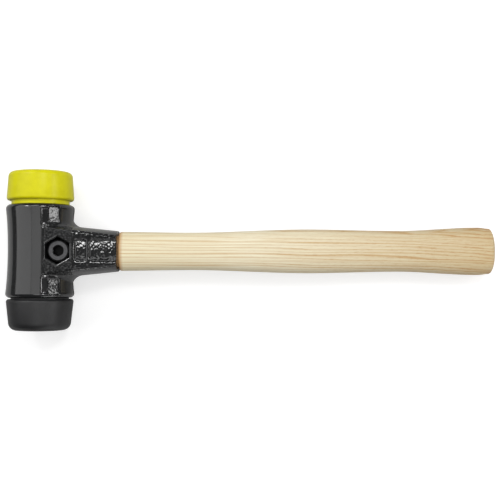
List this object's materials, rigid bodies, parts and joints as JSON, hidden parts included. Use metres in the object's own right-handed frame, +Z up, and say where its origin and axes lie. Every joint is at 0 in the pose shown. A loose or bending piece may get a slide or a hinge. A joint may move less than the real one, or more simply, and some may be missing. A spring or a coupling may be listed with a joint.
{
  "type": "soft face hammer",
  "caption": "Soft face hammer: a split cast housing that one screw clamps round a hard and a soft exchangeable striking face and a waisted wooden handle.",
  "frame": {"origin": "on the surface that the hammer lies on, under the middle of its bounding box; the hammer lies on its side with the clamp screw's head up", "axes": "+X along the handle from the head to the butt, +Y along the strike axis towards the hard yellow face, +Z up through the clamp screw"},
  "size_m": [0.298, 0.0966, 0.0412],
  "materials": {
    "housing_paint": "glossy black enamel over a sand-cast skin, coarse on the flats and smooth on the barrel",
    "screw_steel": "black oxide, satin",
    "nut_steel": "zinc plate, satin",
    "nylon": "smooth moulded nylon",
    "yellow_plastic": "satin moulded polyurethane, slightly translucent",
    "black_rubber": "matt moulded rubber",
    "handle_wood": "fine sanded pale hickory with a thin clear coat and long grain along the handle"
  },
  "bodies": {
    "handle_and_rear_half": {"handle": "handle_wood", "rear_housing_half": "housing_paint", "clamp_nut": "nut_steel", "nut_locking_ring": "nylon"},
    "front_half": {"front_housing_half": "housing_paint"},
    "screw": {"clamp_screw": "screw_steel"},
    "hard_face": {"hard_face_insert": "yellow_plastic"},
    "soft_face": {"soft_face_insert": "black_rubber"}
  },
  "joints": [
    {"name": "front_half_lift", "type": "slide", "parent": "handle_and_rear_half", "child": "front_half", "axis": [0, 0, 1], "range_m": [0, 0.005]},
    {"name": "clamp_screw_turn", "type": "hinge", "parent": "front_half", "child": "screw", "pos_m": [-0.1143, -0.0002, 0.0278], "axis": [0, 0, 1], "range_deg": [0, 1440]},
    {"name": "hard_face_pull", "type": "slide", "parent": "handle_and_rear_half", "child": "hard_face", "axis": [0, 1, 0], "range_m": [0, 0.02]},
    {"name": "soft_face_pull", "type": "slide", "parent": "handle_and_rear_half", "child": "soft_face", "axis": [0, -1, 0], "range_m": [0, 0.02]}
  ],
  "couplings": [
    {"joint": "clamp_screw_turn", "follows": "front_half_lift", "rad_per_m": 5026}
  ]
}
